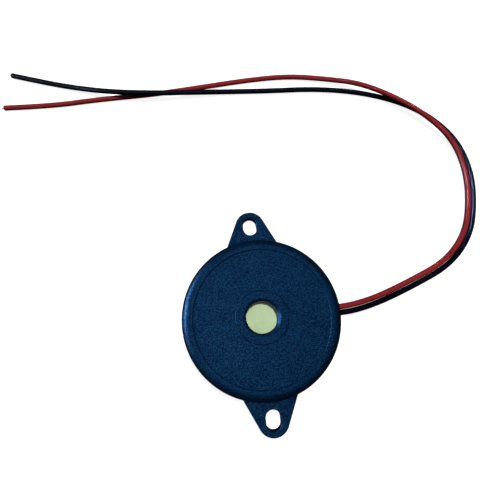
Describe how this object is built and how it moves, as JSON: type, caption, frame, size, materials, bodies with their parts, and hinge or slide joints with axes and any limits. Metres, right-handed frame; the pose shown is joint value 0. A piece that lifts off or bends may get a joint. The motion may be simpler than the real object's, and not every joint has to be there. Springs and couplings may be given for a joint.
{
  "type": "piezo buzzer",
  "caption": "Round moulded piezo buzzer with a central sound hole, slotted mounting ears on opposite sides and red and black flying leads.",
  "frame": {"origin": "middle of the case's flat back face", "axes": "+Z out of the sound face, the mounting ears along +Y and -Y, the leads leave the side wall at +X"},
  "size_m": [0.1166, 0.0941, 0.0056],
  "materials": {
    "housing_plastic": "fine spark-eroded texture, dark navy",
    "cover_plastic": "smooth matt moulding, dark navy",
    "plate_brass": "pale rolled sheet",
    "piezo_ceramic": "fired, unglazed",
    "silver_film": "fired silver film",
    "clear_silicone": "cured silicone bead",
    "lead_sealant": "smooth cured dab",
    "red_insulation": "extruded, satin",
    "black_insulation": "extruded, satin",
    "tinned_copper": "tinned strands",
    "solder": "bright solder"
  },
  "bodies": {
    "root": {"front_case": "housing_plastic", "back_cover": "cover_plastic", "diaphragm_plate": "plate_brass", "piezo_ceramic": "piezo_ceramic", "silver_electrode": "silver_film", "diaphragm_adhesive": "clear_silicone", "exit_sealant": "lead_sealant", "red_lead": "red_insulation", "black_lead": "black_insulation", "red_lead_strands": "tinned_copper", "black_lead_strands": "tinned_copper", "red_lead_tip": "tinned_copper", "black_lead_tip": "tinned_copper", "solder_joint_ceramic": "solder", "solder_joint_plate": "solder"}
  },
  "joints": []
}
